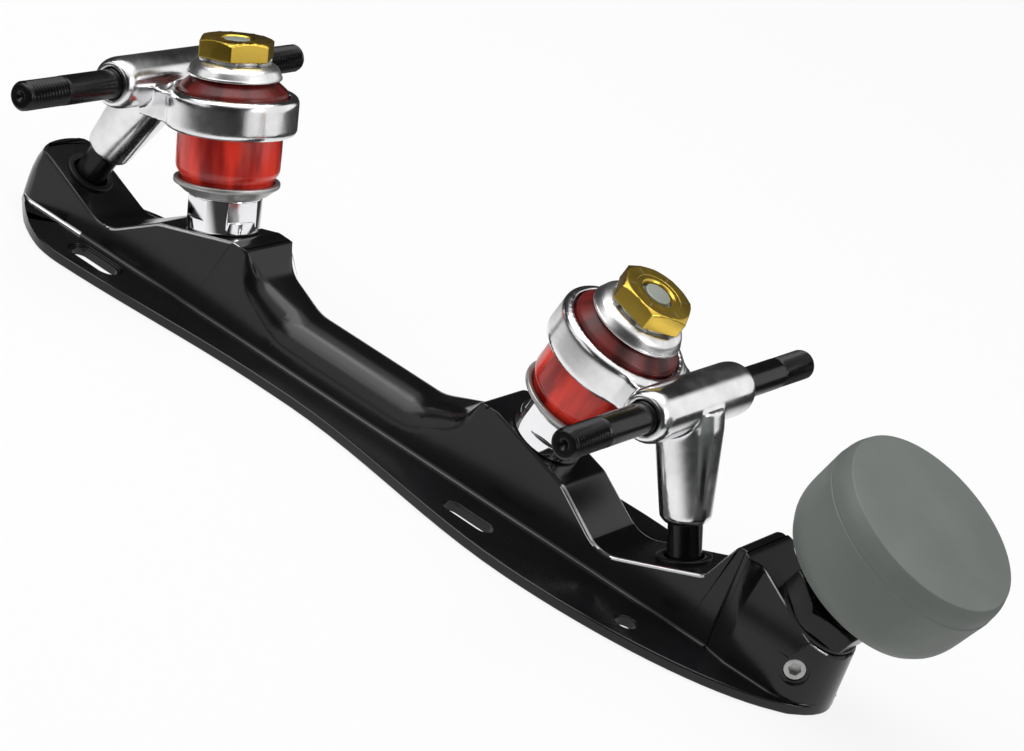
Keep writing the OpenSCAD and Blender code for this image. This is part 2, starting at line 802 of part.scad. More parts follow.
module hanger(side) {
    color([0.8, 0.81, 0.83])
    difference() {
        union() {
            at_kingpin(side)
                translate([0, 0, ring_mid]) {
                    ring_solid();
                    translate([0, 0, -neck_t / 2])
                        linear_extrude(height = neck_t)
                            neck_plan();
                }
            at_side(side)
                translate([axle_x, 0, axle_h]) {
                    rotate([90, 0, 0])
                        rotate_extrude()
                            polygon([[0, -tube_half],
                                [tube_end_r - 0.4, -tube_half],
                                [tube_end_r, -tube_half + 0.4],
                                [tube_mid_r, -tube_half + tube_taper / 2],
                                [tube_r, -tube_half + tube_taper],
                                [tube_r, tube_half - tube_taper],
                                [tube_mid_r, tube_half - tube_taper / 2],
                                [tube_end_r, tube_half - 0.4],
                                [tube_end_r - 0.4, tube_half],
                                [0, tube_half]]);
                }
            at_pivot(side)
                translate([0, 0, arm_gap])
                    rotate_extrude()
                        polygon([[0, 0], [arm_end_r - 1.2, 0],
                            [arm_end_r, 1.4],
                            [arm_top_r, arm_len - arm_gap - tube_end_r],
                            [arm_top_r, arm_len - arm_gap - 1],
                            [0, arm_len - arm_gap - 1]]);
        }
        at_side(side)
            translate([axle_x, 0, axle_h])
                rotate([90, 0, 0])
                    cylinder(r = axle_r + knurl + fit, h = 4 * tube_half,
                        center = true);
        at_pivot(side)
            translate([0, 0, arm_gap - 1])
                cylinder(r = pivot_r + fit, h = pivot_grip + 1 + fit);
    }
}

module axle(side) {
    color([0.05, 0.05, 0.05])
    at_side(side)
        translate([axle_x, 0, axle_h])
            rotate([90, 0, 0])
                rotate_extrude()
                    polygon([[0, -axle_half + centre_r],
                        [centre_r, -axle_half],
                        [axle_r - 0.7, -axle_half],
                        [axle_r, -axle_half + 0.7],
                        [axle_r, -free_from],
                        [axle_r + knurl, -free_from + knurl],
                        [axle_r + knurl, free_from - knurl],
                        [axle_r, free_from],
                        [axle_r, axle_half - 0.7],
                        [axle_r - 0.7, axle_half],
                        [centre_r, axle_half],
                        [0, axle_half - centre_r]]);
}

module toe_stop_washer() {
    color([0.12, 0.12, 0.12])
    at_stop()
        difference() {
            cylinder(r = stop_washer_r, h = stop_washer_t);
            translate([0, 0, -1])
                cylinder(r = stem_r + fit, h = stop_washer_t + 2);
        }
}

module toe_stop_nut() {
    color([0.1, 0.1, 0.1])
    at_stop()
        translate([0, 0, stop_washer_t])
            rotate([0, 0, 30])
                hex_nut(stop_nut_af, stop_nut_t, stem_r + fit, true);
}

module toe_set_screw() {
    long = set_out - 1 - set_in;
    color([0.75, 0.75, 0.75])
    at_set_screw()
        translate([0, 0, set_in])
            difference() {
                cylinder(r = set_r, h = long);
                translate([0, 0, long - min(1.6, long / 2)])
                    cylinder(r = set_r * 0.58, h = 5, $fn = 6);
            }
}

module toe_stop_stem() {
    top = stop_stand_off + disc_in;
    color([0.3, 0.3, 0.3])
    at_stop()
        rotate_extrude()
            polygon([[0, -stem_below], [stem_r - 1, -stem_below],
                [stem_r, -stem_below + 1], [stem_r, top],
                [disc_r, top], [disc_r, top + disc_t], [0, top + disc_t]]);
}

module toe_stop_rubber() {
    top = stop_h;
    color([0.44, 0.47, 0.45])
    at_stop()
        translate([0, 0, stop_stand_off])
            rotate_extrude($fn = 96)
                polygon(concat(
                    [[stem_r + 0.1, 0], [stop_back_r, 0]],
                    [for (i = [1 : 6])
                        [stop_back_r + (stop_r - 0.3 - stop_back_r)
                            * sin(i * 15),
                            stop_back_h * (1 - cos(i * 15))]],
                    [[stop_r, top - stop_bevel_h - 0.8],
                        [stop_face_r + 0.6, top - 1.2],
                        [stop_face_r - 0.2, top - 0.4],
                        [stop_face_r * 0.7, top - 0.1], [0, top],
                        [0, disc_in + disc_t + fit],
                        [disc_r + fit, disc_in + disc_t + fit],
                        [disc_r + fit, disc_in - fit],
                        [stem_r + 0.1, disc_in - fit]]));
}

plate_body();
pivot_cup(1);  // front_pivot_cup
pivot_cup(-1);  // rear_pivot_cup
kingpin(1);  // front_kingpin
lock_sleeve(1);  // front_lock_sleeve
lower_cup(1);  // front_lower_cup
lower_cushion(1);  // front_lower_cushion
upper_cushion(1);  // front_upper_cushion
upper_cup(1);  // front_upper_cup
tab_washer(1);  // front_tab_washer
top_nut(1);  // front_top_nut
hanger(1);  // front_hanger
axle(1);  // front_axle
pivot_pin(1);  // front_pivot_pin
kingpin(-1);  // rear_kingpin
lock_sleeve(-1);  // rear_lock_sleeve
lower_cup(-1);  // rear_lower_cup
lower_cushion(-1);  // rear_lower_cushion
upper_cushion(-1);  // rear_upper_cushion
upper_cup(-1);  // rear_upper_cup
tab_washer(-1);  // rear_tab_washer
top_nut(-1);  // rear_top_nut
hanger(-1);  // rear_hanger
axle(-1);  // rear_axle
pivot_pin(-1);  // rear_pivot_pin
toe_stop_washer();
toe_stop_nut();
toe_set_screw();
toe_stop_stem();
toe_stop_rubber();
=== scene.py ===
"""Roller skate plate: two cushioned trucks and a toe stop on a black plate.

Pieces are made on their own Z axis in millimetres and put on the plate in
metres. X runs to the toe, Y across, Z up from the sole face.
"""
import math
import bmesh
import bpy
import numpy as np
from mathutils import Matrix, Vector
from mathutils.bvhtree import BVHTree


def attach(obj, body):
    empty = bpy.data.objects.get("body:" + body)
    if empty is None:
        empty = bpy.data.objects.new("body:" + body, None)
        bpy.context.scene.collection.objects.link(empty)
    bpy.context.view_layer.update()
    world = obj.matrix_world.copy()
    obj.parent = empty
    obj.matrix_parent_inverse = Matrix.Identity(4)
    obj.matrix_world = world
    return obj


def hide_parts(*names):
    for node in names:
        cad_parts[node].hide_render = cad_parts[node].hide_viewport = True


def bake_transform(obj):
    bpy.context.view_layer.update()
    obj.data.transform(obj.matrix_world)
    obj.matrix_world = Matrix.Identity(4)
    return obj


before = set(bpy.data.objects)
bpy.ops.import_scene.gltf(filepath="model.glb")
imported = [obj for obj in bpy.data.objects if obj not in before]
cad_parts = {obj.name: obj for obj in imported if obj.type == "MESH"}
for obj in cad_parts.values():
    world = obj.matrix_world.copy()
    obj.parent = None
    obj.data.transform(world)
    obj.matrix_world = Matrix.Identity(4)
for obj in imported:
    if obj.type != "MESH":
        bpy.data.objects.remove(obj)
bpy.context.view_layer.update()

SIDES = (("front", 1), ("rear", -1))

# Sizes in millimetres and tilts in degrees, as in the part's source
AXLE_X, AXLE_H, AXLE_HALF, AXLE_R = 79.375, 45.8, 50.4, 3.5
KINGPIN_X, SEAT_H, KINGPIN_TILT = 49.975, 20.0, 16.3
KINGPIN_R = 4.95
PIN_HOLE = KINGPIN_R + 0.05
LOW_CUP, LOW_FLOOR, WEB_LOW, WEB_TOP = 9.0, 10.1, 27.05, 30.05
UP_FLOOR, UP_TOP, NUT_LOW, NUT_T = 39.3, 40.4, 41.3, 4.6
PAD_X, PAD_H, PIVOT_RUN = 92.075, 13.0, 12.7
PIVOT_TILT = math.degrees(math.atan2(PIVOT_RUN, AXLE_H - PAD_H))
STOP_X, STOP_H, STOP_TILT = 126.275, 19.2, 24.2
STEM_R, STAND_OFF = 7.9, 13.9
SOLE_T = 2.5
# Middles (x, y) of the holes in the sole
HEEL_SLOT, BALL_SLOT = (7.6 - AXLE_X, 15.4), (AXLE_X - 30.8, 19.4)
TOE_HOLE = (AXLE_X + 14.2, 19.6)


# ---------------------------------------------------------------- places

def stand(side, x, z, tilt):
    """Matrix from a piece's own millimetres to the plate: leaned by tilt
    about Y, moved to (x, 0, z), and for the rear truck turned half round."""
    turn = Matrix.Rotation(0 if side > 0 else math.pi, 4, "Z")
    lean = Matrix.Rotation(math.radians(tilt), 4, "Y")
    return (turn @ Matrix.Translation((x / 1000, 0, z / 1000)) @ lean
            @ Matrix.Scale(0.001, 4))


def at_kingpin(side):
    return stand(side, KINGPIN_X, SEAT_H, KINGPIN_TILT)


def at_pivot(side):
    return stand(side, PAD_X, PAD_H, -PIVOT_TILT)


def at_axle(side):
    place = stand(side, AXLE_X, AXLE_H, 0)
    return place @ Matrix.Rotation(-math.pi / 2, 4, "X")


def at_stop():
    return stand(1, STOP_X, STOP_H, STOP_TILT)


def up_from(place, height):
    """The place moved up its own axis."""
    return place @ Matrix.Translation((0, 0, height))


# ---------------------------------------------------------------- meshes

def eased(corners, steps=4, closed=False):
    """Outline through corners (r, z, radius): each corner with a radius is
    cut back by it along both sides, and the points between follow the
    quadratic curve (1-t)^2 p + 2t(1-t) c + t^2 q."""
    out = []
    count = len(corners)
    for k, corner in enumerate(corners):
        c = np.array(corner[:2], float)
        radius = corner[2] if len(corner) > 2 else 0
        if radius == 0 or (not closed and k in (0, count - 1)):
            out.append(c[None])
            continue
        a = np.array(corners[k - 1][:2], float)
        b = np.array(corners[(k + 1) % count][:2], float)
        la, lb = np.linalg.norm(a - c), np.linalg.norm(b - c)
        p = c + (a - c) * min(radius / la, 0.45)
        q = c + (b - c) * min(radius / lb, 0.45)
        t = np.linspace(0, 1, steps + 1)[:, None]
        out.append((1 - t) ** 2 * p + 2 * t * (1 - t) * c + t ** 2 * q)
    return np.vstack(out)


def denser(outline, low, high, step):
    """The outline with points no more than step apart between z = low and
    z = high, put in by straight interpolation."""
    out = [outline[:1]]
    for a, b in zip(outline[:-1], outline[1:]):
        inside = min(a[1], b[1]) < high and max(a[1], b[1]) > low
        n = max(1, int(math.ceil(abs(b[1] - a[1]) / step))) if inside else 1
        t = np.linspace(0, 1, n + 1)[1:, None]
        out.append(a + (b - a) * t)
    return np.vstack(out)


def turned(outline, around=96, loop=False, threads=()):
    """Surface of revolution. The point at outline (r, z) and angle a is
    (r cos a, r sin a, z). A thread (low, high, pitch, depth) lowers r by
    depth times a triangle wave of z / pitch - a / 2 pi, levelled at its
    root and fading in over one pitch at both ends."""
    for low, high, pitch, depth in threads:
        outline = denser(outline, low, high, pitch / 8)
    r, z = outline[:, 0][:, None], outline[:, 1][:, None]
    a = np.arange(around)[None] * 2 * math.pi / around
    r = np.repeat(r, around, 1)
    for low, high, pitch, depth in threads:
        wave = np.abs((z / pitch - a / (2 * math.pi)) % 1 * 2 - 1)
        fade = np.clip(np.minimum(z - low, high - z) / pitch, 0, 1)
        r = r - depth * np.clip(wave * 1.25, 0, 1) * fade * (r > 1)
    grid = np.stack([r * np.cos(a), r * np.sin(a),
                     np.broadcast_to(z, r.shape)], -1)
    rows = len(outline)
    i = np.arange(rows if loop else rows - 1)[:, None]
    j = np.arange(around)[None]
    i2, j2 = (i + 1) % rows, (j + 1) % around
    quads = np.stack([i * around + j, i * around + j2,
                      i2 * around + j2, i2 * around + j], -1).reshape(-1, 4)
    return grid.reshape(-1, 3), quads


def turned_ring(corners):
    """A closed section, with its corners eased, turned round."""
    return turned(eased(corners, closed=True), loop=True)


def clean(mesh, merge=1e-6, flat=0.0):
    """Joins points closer than merge, drops edges where two faces meet at
    less than the flat angle, and turns all faces outwards."""
    bm = bmesh.new()
    bm.from_mesh(mesh)
    bmesh.ops.remove_doubles(bm, verts=bm.verts, dist=merge)
    bmesh.ops.dissolve_degenerate(bm, edges=bm.edges, dist=merge)
    if flat:
        bmesh.ops.dissolve_limit(bm, angle_limit=flat, verts=bm.verts,
                                 edges=bm.edges)
    bmesh.ops.recalc_face_normals(bm, faces=bm.faces)
    bm.to_mesh(mesh)
    bm.free()


def shade(piece, angle):
    """Smooth shading, with edges sharper than the angle left crisp."""
    mesh = piece.data
    mesh.shade_smooth()
    mesh.set_sharp_from_angle(angle=math.radians(angle))


def new_piece(name, points, faces, **cleaning):
    mesh = bpy.data.meshes.new(name)
    mesh.from_pydata(points.tolist(), [], faces.tolist())
    clean(mesh, **cleaning)
    piece = bpy.data.objects.new(name, mesh)
    bpy.context.scene.collection.objects.link(piece)
    return piece


def piece_from(name, part, matrix, angle=35):
    """A new piece: the part's points through the matrix, cleaned and
    smooth-shaded."""
    points, faces = part
    m = np.array(matrix)
    piece = new_piece(name, points @ m[:3, :3].T + m[:3, 3], faces)
    shade(piece, angle)
    return piece


def copy_of(name, cad_node):
    """A piece that starts as the cleaned copy of a CAD node's triangles."""
    points, faces = triangles(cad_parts[cad_node].data)
    return new_piece(name, points, faces, merge=2e-5, flat=math.radians(0.2))


def triangles(mesh):
    """Points and triangles of a mesh as arrays."""
    points = np.empty(len(mesh.vertices) * 3)
    mesh.vertices.foreach_get("co", points)
    mesh.calc_loop_triangles()
    faces = np.empty(len(mesh.loop_triangles) * 3, int)
    mesh.loop_triangles.foreach_get("vertices", faces)
    return points.reshape(-1, 3), faces.reshape(-1, 3)


def edge_round(piece, width, angle=28, segments=3, shading=40, share=None,
               cuts=(), material=0):
    """Round on every edge sharper than the angle, width in mm. share gives
    each edge's part of the width from the middle points of the edges, and
    cuts are places along X where long faces are divided first. A point
    that the rounding threw off the surface goes back to it, and none
    passes the piece's own bounds. The new faces get the material index
    given."""
    bm = bmesh.new()
    bm.from_mesh(piece.data)
    for x in cuts:
        bmesh.ops.bisect_plane(
            bm, geom=bm.verts[:] + bm.edges[:] + bm.faces[:], dist=2e-5,
            plane_co=(x / 1000, 0, 0), plane_no=(1, 0, 0))
    bm.to_mesh(piece.data)
    sharp = np.array([len(e.link_faces) == 2
                      and e.calc_face_angle(0) > math.radians(angle)
                      for e in bm.edges], float)
    middle = np.array([(e.verts[0].co + e.verts[1].co) * 500
                       for e in bm.edges])
    bm.free()
    if share:
        sharp *= share(middle)
    weights = piece.data.attributes.new("bevel_weight_edge", "FLOAT", "EDGE")
    weights.data.foreach_set("value", sharp.astype(np.float32))
    bevel = piece.modifiers.new("edges", "BEVEL")
    bevel.width = width / 1000
    bevel.segments = segments
    bevel.limit_method = "WEIGHT"
    bevel.material = material
    bevel.use_clamp_overlap = False
    points, faces = triangles(piece.data)
    skin = BVHTree.FromPolygons((points * 1000).tolist(), faces.tolist())
    least, most = points.min(0), points.max(0)
    too_far = 0.3 * width
    full = piece.evaluated_get(bpy.context.evaluated_depsgraph_get())
    rounded = bpy.data.meshes.new_from_object(full)
    piece.modifiers.remove(bevel)
    piece.data = rounded
    for v in rounded.vertices:
        spot, _, _, away = skin.find_nearest(v.co * 1000)
        if away > too_far:
            v.co = spot / 1000
        v.co = np.clip(v.co, least, most)
    shade(piece, shading)
    flat = piece.modifiers.new("flats", "WEIGHTED_NORMAL")
    flat.keep_sharp = True


def settle(piece, body, slot, material, *nodes):
    """Gives the piece its finish and the body it rides on, and hides the CAD
    nodes that it stands for. The slot is not used."""
    piece.data.materials.clear()
    piece.data.materials.append(material)
    if body:
        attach(piece, body)
    if nodes:
        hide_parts(*nodes)
    return piece


# ---------------------------------------------------------------- finishes

VECTOR = ("Vector", "NodeSocketVector", None)
WHITE = (1, 1, 1, 1)


def group(name, inputs, outputs):
    """A node group with named sockets; returns the tree and its two ends."""
    tree = bpy.data.node_groups.new(name, "ShaderNodeTree")
    for label, kind, value in inputs:
        s = tree.interface.new_socket(label, in_out="INPUT", socket_type=kind)
        if value is not None:
            s.default_value = value
    for label, kind in outputs:
        tree.interface.new_socket(label, in_out="OUTPUT", socket_type=kind)
    ends = [tree.nodes.new(kind)
            for kind in ("NodeGroupInput", "NodeGroupOutput")]
    return tree, *ends


def node(tree, kind, **settings):
    """A node with its properties set; in_2 sets the input at index 2."""
    n = tree.nodes.new(kind)
    for key, value in settings.items():
        if key.startswith("in_"):
            n.inputs[int(key[3:])].default_value = value
        else:
            setattr(n, key, value)
    return n


def make_smears():
    """Roughness that varies as on handled metal: two sizes of noise are
    added and mapped between Low and High."""
    tree, i, o = group("handled_gloss", [
        VECTOR, ("Scale", "NodeSocketFloat", 60.0),
        ("Low", "NodeSocketFloat", 0.1), ("High", "NodeSocketFloat", 0.25)],
        [("Roughness", "NodeSocketFloat")])
    wide = node(tree, "ShaderNodeTexNoise", in_3=4.0, in_4=0.55)
    fine = node(tree, "ShaderNodeTexNoise", in_3=6.0, in_4=0.6)
    more = node(tree, "ShaderNodeMath", operation="MULTIPLY", in_1=7.0)
    mix = node(tree, "ShaderNodeMath", operation="MULTIPLY_ADD", in_1=0.35)
    span = node(tree, "ShaderNodeMapRange", in_1=0.42, in_2=0.9)
    link = tree.links.new
    link(i.outputs["Vector"], wide.inputs["Vector"])
    link(i.outputs["Vector"], fine.inputs["Vector"])
    link(i.outputs["Scale"], wide.inputs["Scale"])
    link(i.outputs["Scale"], more.inputs[0])
    link(more.outputs[0], fine.inputs["Scale"])
    link(fine.outputs[0], mix.inputs[0])
    link(wide.outputs[0], mix.inputs[2])
    link(mix.outputs[0], span.inputs[0])
    link(i.outputs["Low"], span.inputs[3])
    link(i.outputs["High"], span.inputs[4])
    link(span.outputs[0], o.inputs[0])
    return tree


def make_grain():
    """Height of a cast or moulded skin: fine noise plus shallow dimples."""
    tree, i, o = group("skin_grain", [
        VECTOR, ("Scale", "NodeSocketFloat", 900.0),
        ("Dimples", "NodeSocketFloat", 0.4)], [("Height", "NodeSocketFloat")])
    noise = node(tree, "ShaderNodeTexNoise", in_3=5.0, in_4=0.6)
    cells = node(tree, "ShaderNodeTexVoronoi")
    mix = node(tree, "ShaderNodeMath", operation="MULTIPLY_ADD")
    link = tree.links.new
    for n in (noise, cells):
        link(i.outputs["Vector"], n.inputs["Vector"])
        link(i.outputs["Scale"], n.inputs["Scale"])
    link(cells.outputs[0], mix.inputs[0])
    link(i.outputs["Dimples"], mix.inputs[1])
    link(noise.outputs[0], mix.inputs[2])
    link(mix.outputs[0], o.inputs[0])
    return tree


def make_patches():
    """Mask of soft patches, for colour that isn't quite even."""
    tree, i, o = group("colour_patches", [
        VECTOR, ("Scale", "NodeSocketFloat", 80.0)],
        [("Mask", "NodeSocketFloat")])
    noise = node(tree, "ShaderNodeTexNoise", in_3=3.0, in_4=0.5)
    span = node(tree, "ShaderNodeMapRange", in_1=0.35, in_2=0.65)
    link = tree.links.new
    link(i.outputs["Vector"], noise.inputs["Vector"])
    link(i.outputs["Scale"], noise.inputs["Scale"])
    link(noise.outputs[0], span.inputs[0])
    link(span.outputs[0], o.inputs[0])
    return tree


def make_pin_frame():
    """Coordinates on the nearest kingpin: x is made positive, the lean of
    the kingpin is turned back, and its seat becomes the origin."""
    tree, i, o = group("pin_frame", [VECTOR],
                       [("Vector", "NodeSocketVector")])
    seat = (KINGPIN_X / 1000, 0, SEAT_H / 1000)
    split = node(tree, "ShaderNodeSeparateXYZ")
    side = node(tree, "ShaderNodeMath", operation="ABSOLUTE")
    join = node(tree, "ShaderNodeCombineXYZ")
    turn = node(tree, "ShaderNodeVectorRotate", rotation_type="Y_AXIS")
    turn.inputs["Center"].default_value = seat
    turn.inputs["Angle"].default_value = -math.radians(KINGPIN_TILT)
    shift = node(tree, "ShaderNodeVectorMath", operation="SUBTRACT", in_1=seat)
    link = tree.links.new
    link(i.outputs["Vector"], split.inputs[0])
    link(split.outputs[0], side.inputs[0])
    link(side.outputs[0], join.inputs[0])
    link(split.outputs[1], join.inputs[1])
    link(split.outputs[2], join.inputs[2])
    link(join.outputs[0], turn.inputs["Vector"])
    link(turn.outputs[0], shift.inputs[0])
    link(shift.outputs[0], o.inputs[0])
    return tree


def make_glow_streaks(frame_tree):
    """Mask of soft streaks that run along the kingpin, for a painted glow and
    sheen in the cushions: noise over the unit vector from the pin's axis, and
    only slowly along it."""
    tree, i, o = group("painted_glow_streaks", [
        VECTOR, ("Scale", "NodeSocketFloat", 2.4)],
        [("Mask", "NodeSocketFloat")])
    local = node(tree, "ShaderNodeGroup", node_tree=frame_tree)
    level = node(tree, "ShaderNodeVectorMath", operation="MULTIPLY",
                 in_1=(1, 1, 0))
    around = node(tree, "ShaderNodeVectorMath", operation="NORMALIZE")
    along = node(tree, "ShaderNodeVectorMath", operation="MULTIPLY_ADD",
                 in_1=(0, 0, 14))
    noise = node(tree, "ShaderNodeTexNoise", in_3=3.0, in_4=0.45)
    span = node(tree, "ShaderNodeMapRange", interpolation_type="SMOOTHSTEP",
                in_1=0.36, in_2=0.66)
    link = tree.links.new
    link(i.outputs["Vector"], local.inputs[0])
    link(i.outputs["Scale"], noise.inputs["Scale"])
    link(local.outputs[0], level.inputs[0])
    link(level.outputs[0], around.inputs[0])
    link(local.outputs[0], along.inputs[0])
    link(around.outputs[0], along.inputs[2])
    link(along.outputs[0], noise.inputs["Vector"])
    link(noise.outputs[0], span.inputs[0])
    link(span.outputs[0], o.inputs[0])
    return tree


def make_ticks(frame_tree):
    """Mask of six thin radial lines on top of the nut: where r |sin 3a| / 3,
    about the distance to the nearest line, is under 0.12 mm."""
    tree, i, o = group("radial_ticks", [VECTOR],
                       [("Mask", "NodeSocketFloat")])
    link = tree.links.new

    def maths(operation, a, b=None):
        n = node(tree, "ShaderNodeMath", operation=operation)
        for k, value in enumerate((a, b)):
            if isinstance(value, (int, float)):
                n.inputs[k].default_value = value
            elif value is not None:
                link(value, n.inputs[k])
        return n.outputs[0]

    local = node(tree, "ShaderNodeGroup", node_tree=frame_tree)
    split = node(tree, "ShaderNodeSeparateXYZ")
    link(i.outputs["Vector"], local.inputs[0])
    link(local.outputs[0], split.inputs[0])
    x, y, z = split.outputs
    r = maths("SQRT", maths("ADD", maths("MULTIPLY", x, x),
                            maths("MULTIPLY", y, y)))
    wave = maths("ABSOLUTE", maths("SINE", maths(
        "MULTIPLY_ADD", maths("ARCTAN2", y, x), 3.0)))
    half_width, inner, outer = 0.00012, 0.0056, 0.0076
    near = maths("LESS_THAN", maths("MULTIPLY", wave, r), 3 * half_width)
    band = maths("MULTIPLY", maths("GREATER_THAN", r, inner),
                 maths("LESS_THAN", r, outer))
    top = maths("GREATER_THAN", z, (NUT_LOW + NUT_T - 0.1) / 1000)
    link(maths("MULTIPLY", maths("MULTIPLY", near, band), top), o.inputs[0])
    return tree


GLOSS, GRAIN, PATCHES = make_smears(), make_grain(), make_patches()
PIN_FRAME = make_pin_frame()
GLOW_STREAKS, TICKS = make_glow_streaks(PIN_FRAME), make_ticks(PIN_FRAME)


def finish(name, colour, second, metal, low, high, bump=0.0, grain=900.0,
           dimples=0.4, patches=80.0, gloss=60.0, mask=None, **sockets):
    """A material: colour varies towards a second one in patches (or by
    another mask), roughness between low and high, and a fine grain stands
    up by bump mm."""
    m = bpy.data.materials.new(name)
    m.use_nodes = True
    m.diffuse_color = (*colour, 1)
    tree = m.node_tree
    link = tree.links.new
    shader = tree.nodes["Principled BSDF"]
    place = node(tree, "ShaderNodeTexCoord")
    spots = node(tree, "ShaderNodeGroup", node_tree=mask or PATCHES)
    if not mask:
        spots.inputs["Scale"].default_value = patches
    mix = node(tree, "ShaderNodeMix", data_type="RGBA")
    mix.inputs[6].default_value = (*colour, 1)
    mix.inputs[7].default_value = (*second, 1)
    rough = node(tree, "ShaderNodeGroup", node_tree=GLOSS)
    rough.inputs["Scale"].default_value = gloss
    rough.inputs["Low"].default_value = low
    rough.inputs["High"].default_value = high
    link(place.outputs["Object"], spots.inputs["Vector"])
    link(place.outputs["Object"], rough.inputs["Vector"])
    link(spots.outputs[0], mix.inputs[0])
    link(mix.outputs[2], shader.inputs["Base Color"])
    link(rough.outputs[0], shader.inputs["Roughness"])
    shader.inputs["Metallic"].default_value = metal
    for key, value in sockets.items():
        shader.inputs[key.replace("_", " ")].default_value = value
    if bump:
        skin = node(tree, "ShaderNodeGroup", node_tree=GRAIN)
        skin.inputs["Scale"].default_value = grain
        skin.inputs["Dimples"].default_value = dimples
        raised = node(tree, "ShaderNodeBump")
        raised.inputs["Strength"].default_value = 1.0
        raised.inputs["Distance"].default_value = bump / 1000
        link(place.outputs["Object"], skin.inputs["Vector"])
        link(skin.outputs[0], raised.inputs["Height"])
        link(raised.outputs[0], shader.inputs["Normal"])
    return m


BLACK = finish("black_anodised", (0.004, 0.004, 0.0045), (0.006, 0.006, 0.007),
               0.0, 0.16, 0.24, bump=0.001, grain=2200, IOR=1.4)
POLISHED = finish("polished_casting", (0.86, 0.86, 0.87), (0.74, 0.74, 0.75),
                  1.0, 0.1, 0.28, bump=0.012, grain=420, dimples=0.15,
                  patches=160)
CHROME = finish("bright_chrome", (0.9, 0.9, 0.91), (0.82, 0.82, 0.84),
                1.0, 0.04, 0.1)
ZINC = finish("satin_zinc", (0.5, 0.5, 0.49), (0.36, 0.36, 0.35),
              0.75, 0.3, 0.44, bump=0.006, grain=1500, patches=200)
# Bright metal on the rounding of some plate edges: a milled bare edge on the
# spine's top and the stop's seat, and a painted highlight along the walls'
# foot at the heel.
BARE_AND_HIGHLIGHT = finish("milled_edge_and_highlight", (0.6, 0.6, 0.61), (0.48, 0.48, 0.49),
              1.0, 0.18, 0.26)
CUP = finish("bright_zinc", (0.86, 0.86, 0.86), (0.66, 0.66, 0.66),
             1.0, 0.22, 0.36, bump=0.008, grain=1300, patches=260)
GOLD = finish("yellow_zinc", (0.54, 0.37, 0.06), (0.9, 0.74, 0.38),
              1.0, 0.24, 0.38, bump=0.006, grain=1400, mask=TICKS)
GREY = finish("pin_end", (0.34, 0.37, 0.33), (0.26, 0.28, 0.25),
              0.35, 0.35, 0.5, bump=0.01, grain=1200)
OXIDE = finish("black_oxide", (0.003, 0.003, 0.003), (0.006, 0.006, 0.006),
               0.0, 0.16, 0.3, bump=0.006, grain=1300, Specular_IOR_Level=0.28)
MOULDED = finish("moulded_black", (0.005, 0.005, 0.005),
                 (0.008, 0.008, 0.008), 0.0, 0.3, 0.45, bump=0.01, grain=1100,
                 Specular_IOR_Level=0.2)
RUBBER = finish("grey_rubber", (0.13, 0.146, 0.133), (0.1, 0.112, 0.104),
                0.0, 0.5, 0.62, bump=0.02, grain=700, dimples=0.6, patches=30)
# Both cushions go from a darker to a lighter red in streaks along the kingpin:
# a painted glow and sheen.
BRIGHT_RED = finish("clear_urethane", (0.26, 0.007, 0.005),
                    (0.8, 0.045, 0.024), 0.0, 0.16, 0.26, mask=GLOW_STREAKS,
                    Subsurface_Weight=0.5, Subsurface_Scale=0.003)
DULL_RED = finish("dull_urethane", (0.036, 0.003, 0.003), (0.14, 0.012, 0.01),
                  0.0, 0.28, 0.42, mask=GLOW_STREAKS, Subsurface_Weight=0.4,
                  Subsurface_Scale=0.002, Specular_IOR_Level=0.3)
for red in (BRIGHT_RED, DULL_RED):
    red.node_tree.nodes["Principled BSDF"].inputs[
        "Subsurface Radius"].default_value = (1.0, 0.12, 0.05)


# ---------------------------------------------------------------- pieces

def from_stop(points):
    """Distance in mm from the toe stop's axis, and height over its seat."""
    local = (np.c_[points / 1000, np.ones(len(points))]
             @ np.array(at_stop().inverted()).T)
    return np.hypot(local[:, 0], local[:, 1]), local[:, 2]


def rim_share(middle):
    """Part of the plate's rounding on each edge: all of it on the long foot
    of the spine's walls, most along their top, about half on the other
    edges, and less on the stop's face, between the bosses, at the ends and
    round the openings."""
    x, y, z = middle[:, 0], np.abs(middle[:, 1]), middle[:, 2]
    off, over = from_stop(middle)

    def around(place, half_x, half_y):
        return ((np.abs(x - place[0]) < half_x)
                & (np.abs(y - place[1]) < half_y))

    slots = (z < 3) & (
        around(HEEL_SLOT, 11, 5) | around(BALL_SLOT, 9, 4)
        | (np.hypot(x - TOE_HOLE[0], y - TOE_HOLE[1]) < 4))
    screw = (z > 3) & (z < 14) & (x > STOP_X) & (y > 6)
    kingpin = (np.hypot(np.abs(x) - KINGPIN_X, y) < 6) & (z > 14)
    pivot = (np.hypot(np.abs(x) - PAD_X, y) < 7.5) & (z > 5)
    stem = (off < 8.1) & (x > 105)
    bores = screw | kingpin | pivot | stem
    face = (np.abs(over) < 1) & (x > 111) & (y > 6.5)
    foot = ((np.abs(z - SOLE_T) < 0.1) & (y > 8) & (y < 10)
            & (x > -90) & (x < 96))
    top = (y > 8.2) & (y < 9.8) & (z > 8) & (x < 107) & (np.abs(x) > 44)
    inner = (np.abs(x) < 44) & (z > 8)
    ends = (((x < -92) & (y > 10.8)) | ((x > 130) & (y > 8.6))) & (z < 4)
    return np.select([slots | bores, ends, face, foot, top, inner],
                     [0.16, 0.2, 0.4, 1.0, 0.8, 0.3], 0.55)


def clear_cuts(piece, places, reach=1.3):
    """The places along X, each moved by up to reach mm to where the corners
    of the flange's outline lie farthest away."""
    points = triangles(piece.data)[0] * 1000
    corners = points[(np.abs(points[:, 1]) > 10) & (points[:, 2] < 3), 0]
    tries = np.asarray(places)[:, None] + np.linspace(-reach, reach, 27)
    room = np.abs(tries[:, :, None] - corners).min(2)
    return tries[np.arange(len(tries)), room.argmax(1)]


